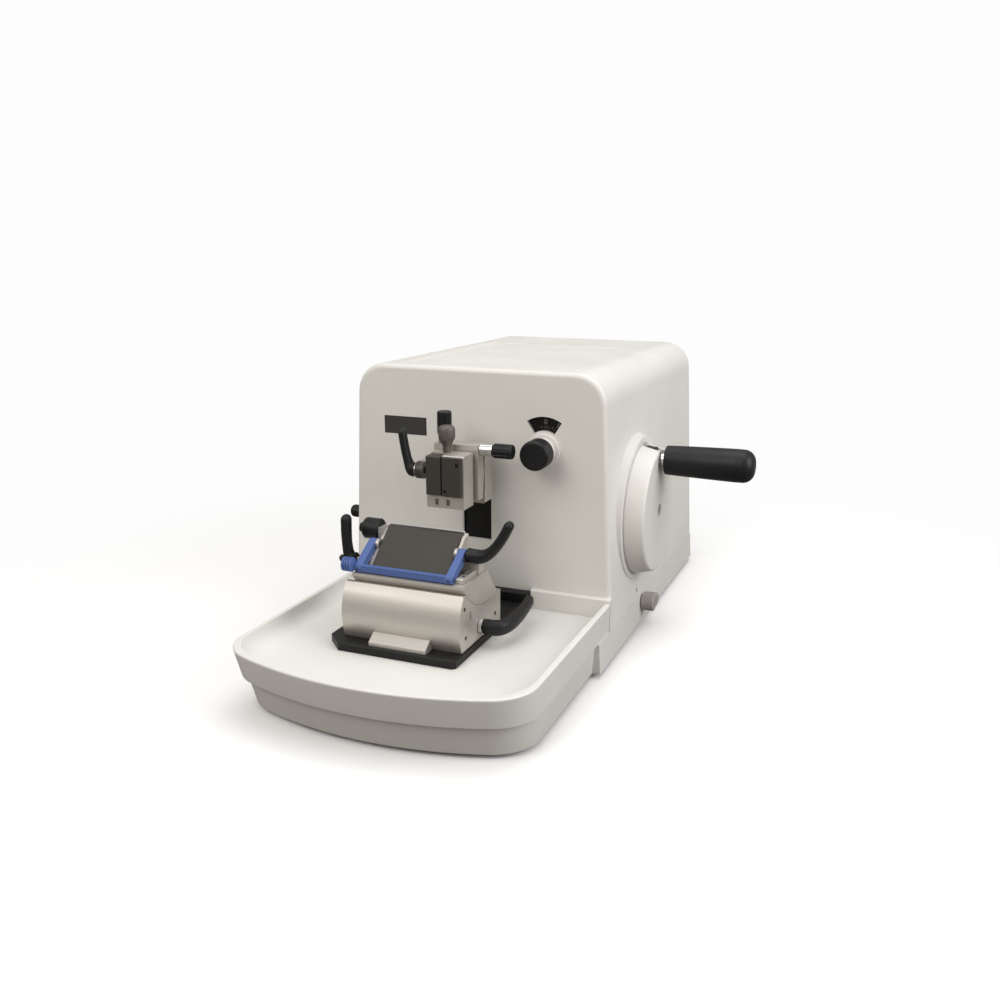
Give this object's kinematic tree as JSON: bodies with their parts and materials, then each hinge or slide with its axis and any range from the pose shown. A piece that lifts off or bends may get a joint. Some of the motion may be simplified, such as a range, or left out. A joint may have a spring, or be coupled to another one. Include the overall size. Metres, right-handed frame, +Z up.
{
  "type": "rotary microtome",
  "caption": "Manual rotary microtome with knife holder, waste tray, specimen head and a handwheel on the right.",
  "frame": {"origin": "on the table below the middle of the housing front wall", "axes": "+X to the handwheel side, +Y to the rear, +Z up"},
  "size_m": [0.4469, 0.6499, 0.2984],
  "materials": {
    "cover_white": "moulded, smooth",
    "base_white": "painted casting",
    "tray_white": "moulded, smooth",
    "black_plastic": "matt",
    "black_metal": "black finish",
    "dial_black": "matt, white numbers",
    "pane_clear": "clear",
    "window_dark": "smoked",
    "rubber_black": "matt",
    "lever_grey": "satin",
    "silver": "brushed",
    "steel": "ground",
    "bright_steel": "ground",
    "dark_steel": "darkened",
    "cast": "machined",
    "bronze": "turned",
    "guard_blue": "painted"
  },
  "bodies": {
    "base": {"base_frame": "base_white", "feet": "rubber_black", "housing_cover": "cover_white", "display_window": "window_dark", "dial_pane": "pane_clear", "side_plug": "lever_grey", "bed_rail": "black_metal", "knob_flange": "cover_white", "shaft_bracket": "cast", "shaft_bushes": "bronze", "frame_screws": "dark_steel", "guide_columns": "bright_steel", "column_bridge": "cast", "coarse_bracket": "cast"},
    "lid": {"top_lid": "cover_white"},
    "tray": {"waste_tray": "tray_white"},
    "wheel": {"handwheel": "cover_white", "wheel_cap": "lever_grey", "main_shaft": "steel", "crank_disc": "cast", "grip_pin": "bright_steel"},
    "grip": {"crank_grip": "black_plastic"},
    "release": {"grip_release": "black_plastic"},
    "brake": {"brake_lever": "lever_grey"},
    "thickness": {"thickness_knob": "black_plastic", "knob_shaft": "steel", "thickness_dial": "dial_black"},
    "coarse": {"coarse_wheel": "cover_white", "coarse_shaft": "steel", "coarse_pin": "bright_steel"},
    "coarse_handle": {"coarse_knob": "black_plastic"},
    "carriage_body": {"carriage": "cast", "slot_shield": "black_plastic"},
    "spindle": {"feed_screw": "steel", "ratchet_wheel": "bronze"},
    "arm": {"feed_cylinder": "bright_steel", "head_block": "silver"},
    "tilt": {"tilt_plate": "silver"},
    "tilt_turn": {"tilt_knob": "black_plastic"},
    "swivel_turn": {"swivel_knob": "black_plastic"},
    "clamp": {"clamp_body": "silver", "jaw_plate": "dark_steel"},
    "jaw": {"clamp_jaw": "dark_steel"},
    "jaw_lever": {"clamp_lever": "black_plastic"},
    "thumb": {"clamp_thumb": "steel"},
    "holder": {"holder_plate": "black_metal", "holder_block": "silver", "block_tongue": "silver"},
    "holder_clamp": {"holder_lever": "black_plastic"},
    "segment": {"tilt_segment": "silver"},
    "carrier": {"blade_carrier": "silver", "carrier_foot": "silver", "blade": "bright_steel", "guard_pivot": "steel"},
    "plate": {"pressure_plate": "dark_steel"},
    "guard": {"finger_guard": "guard_blue"},
    "blade_clamp": {"blade_lever": "black_plastic"},
    "shift_clamp": {"shift_lever": "black_plastic"},
    "edge_turn": {"edge_knob": "black_plastic"}
  },
  "joints": [
    {"name": "lid_lift", "type": "slide", "parent": "base", "child": "lid", "axis": [0, 0, 1], "range_m": [0, 0.04]},
    {"name": "tray_slide", "type": "slide", "parent": "base", "child": "tray", "axis": [0, -1, 0], "range_m": [0, 0.12]},
    {"name": "wheel_spin", "type": "hinge", "parent": "base", "child": "wheel", "pos_m": [0, 0.106, 0.1396], "axis": [1, 0, 0], "continuous": true},
    {"name": "grip_spin", "type": "hinge", "parent": "wheel", "child": "grip", "pos_m": [0.1752, 0.106, 0.1956], "axis": [1, 0, 0], "continuous": true},
    {"name": "release_push", "type": "slide", "parent": "wheel", "child": "release", "axis": [0, 0, -1], "range_m": [0, 0.002], "stiffness_N_per_m": 400},
    {"name": "brake_turn", "type": "hinge", "parent": "base", "child": "brake", "pos_m": [0.15, 0.121, 0.0265], "axis": [1, 0, 0], "range_deg": [0, 40]},
    {"name": "thickness_turn", "type": "hinge", "parent": "base", "child": "thickness", "pos_m": [0.0746, 0, 0.219], "axis": [0, -1, 0], "range_deg": [0, 300]},
    {"name": "coarse_turn", "type": "hinge", "parent": "base", "child": "coarse", "pos_m": [-0.15, 0.076, 0.1195], "axis": [1, 0, 0], "range_deg": [-2170, 910]},
    {"name": "coarse_handle_spin", "type": "hinge", "parent": "coarse", "child": "coarse_handle", "pos_m": [-0.16, 0.044, 0.1195], "axis": [1, 0, 0], "continuous": true},
    {"name": "vertical_slide", "type": "slide", "parent": "base", "child": "carriage_body", "axis": [0, 0, 1], "range_m": [-0.064, 0]},
    {"name": "spindle_turn", "type": "hinge", "parent": "carriage_body", "child": "spindle", "pos_m": [0, 0.112, 0.2], "axis": [0, -1, 0], "range_deg": [-2170, 910]},
    {"name": "feed_slide", "type": "slide", "parent": "carriage_body", "child": "arm", "axis": [0, -1, 0], "range_m": [-0.012, 0.005]},
    {"name": "head_tilt", "type": "hinge", "parent": "arm", "child": "tilt", "pos_m": [0, -0.042, 0.2], "axis": [1, 0, 0], "range_deg": [-8, 8]},
    {"name": "tilt_knob_turn", "type": "hinge", "parent": "tilt", "child": "tilt_turn", "pos_m": [-0.0146, -0.04475, 0.229], "axis": [0, 0, 1], "range_deg": [-705, 705]},
    {"name": "swivel_knob_turn", "type": "hinge", "parent": "tilt", "child": "swivel_turn", "pos_m": [0.024, -0.043, 0.2245], "axis": [1, 0, 0], "range_deg": [-705, 705]},
    {"name": "head_swivel", "type": "hinge", "parent": "tilt", "child": "clamp", "pos_m": [0, -0.058, 0.2], "axis": [0, 0, 1], "range_deg": [-8, 8]},
    {"name": "jaw_slide", "type": "slide", "parent": "clamp", "child": "jaw", "axis": [-1, 0, 0], "range_m": [0, 0.003]},
    {"name": "jaw_lever_turn", "type": "hinge", "parent": "clamp", "child": "jaw_lever", "pos_m": [-0.034, -0.069, 0.205], "axis": [1, 0, 0], "range_deg": [-50, 0]},
    {"name": "thumb_turn", "type": "hinge", "parent": "clamp", "child": "thumb", "pos_m": [-0.005, -0.06, 0.223], "axis": [0, 0, 1], "range_deg": [-180, 180]},
    {"name": "holder_slide", "type": "slide", "parent": "base", "child": "holder", "axis": [0, -1, 0], "range_m": [0, 0.035]},
    {"name": "holder_lever_turn", "type": "hinge", "parent": "holder", "child": "holder_clamp", "pos_m": [0.058, -0.116, 0.07], "axis": [1, 0, 0], "range_deg": [0, 40]},
    {"name": "segment_tilt", "type": "hinge", "parent": "holder", "child": "segment", "pos_m": [0, -0.098, 0.1575], "axis": [1, 0, 0], "range_deg": [-5, 5]},
    {"name": "blade_shift", "type": "slide", "parent": "segment", "child": "carrier", "axis": [1, 0, 0], "range_m": [-0.008, 0.008]},
    {"name": "plate_release", "type": "hinge", "parent": "carrier", "child": "plate", "pos_m": [0, -0.138, 0.1234], "axis": [1, 0, 0], "range_deg": [0, 3]},
    {"name": "guard_flip", "type": "hinge", "parent": "carrier", "child": "guard", "pos_m": [0, -0.118, 0.14], "axis": [1, 0, 0], "range_deg": [-115, 0]},
    {"name": "blade_lever_turn", "type": "hinge", "parent": "carrier", "child": "blade_clamp", "pos_m": [0.0422, -0.118, 0.14], "axis": [1, 0, 0], "range_deg": [-45, 0]},
    {"name": "shift_lever_turn", "type": "hinge", "parent": "carrier", "child": "shift_clamp", "pos_m": [-0.073, -0.125, 0.124], "axis": [1, 0, 0], "range_deg": [0, 50]},
    {"name": "edge_knob_turn", "type": "hinge", "parent": "carrier", "child": "edge_turn", "pos_m": [-0.0575, -0.1015, 0.1495], "axis": [1, 0, 0], "range_deg": [-180, 180]}
  ],
  "couplings": [
    {"joint": "coarse_turn", "follows": "feed_slide", "rad_per_m": 3141.5},
    {"joint": "spindle_turn", "follows": "feed_slide", "rad_per_m": 3141.5},
    {"joint": "tilt_knob_turn", "follows": "head_tilt", "ratio": 87.5},
    {"joint": "swivel_knob_turn", "follows": "head_swivel", "ratio": 87.5},
    {"joint": "jaw_lever_turn", "follows": "jaw_slide", "rad_per_m": -290},
    {"joint": "blade_lever_turn", "follows": "plate_release", "ratio": -14.9}
  ]
}
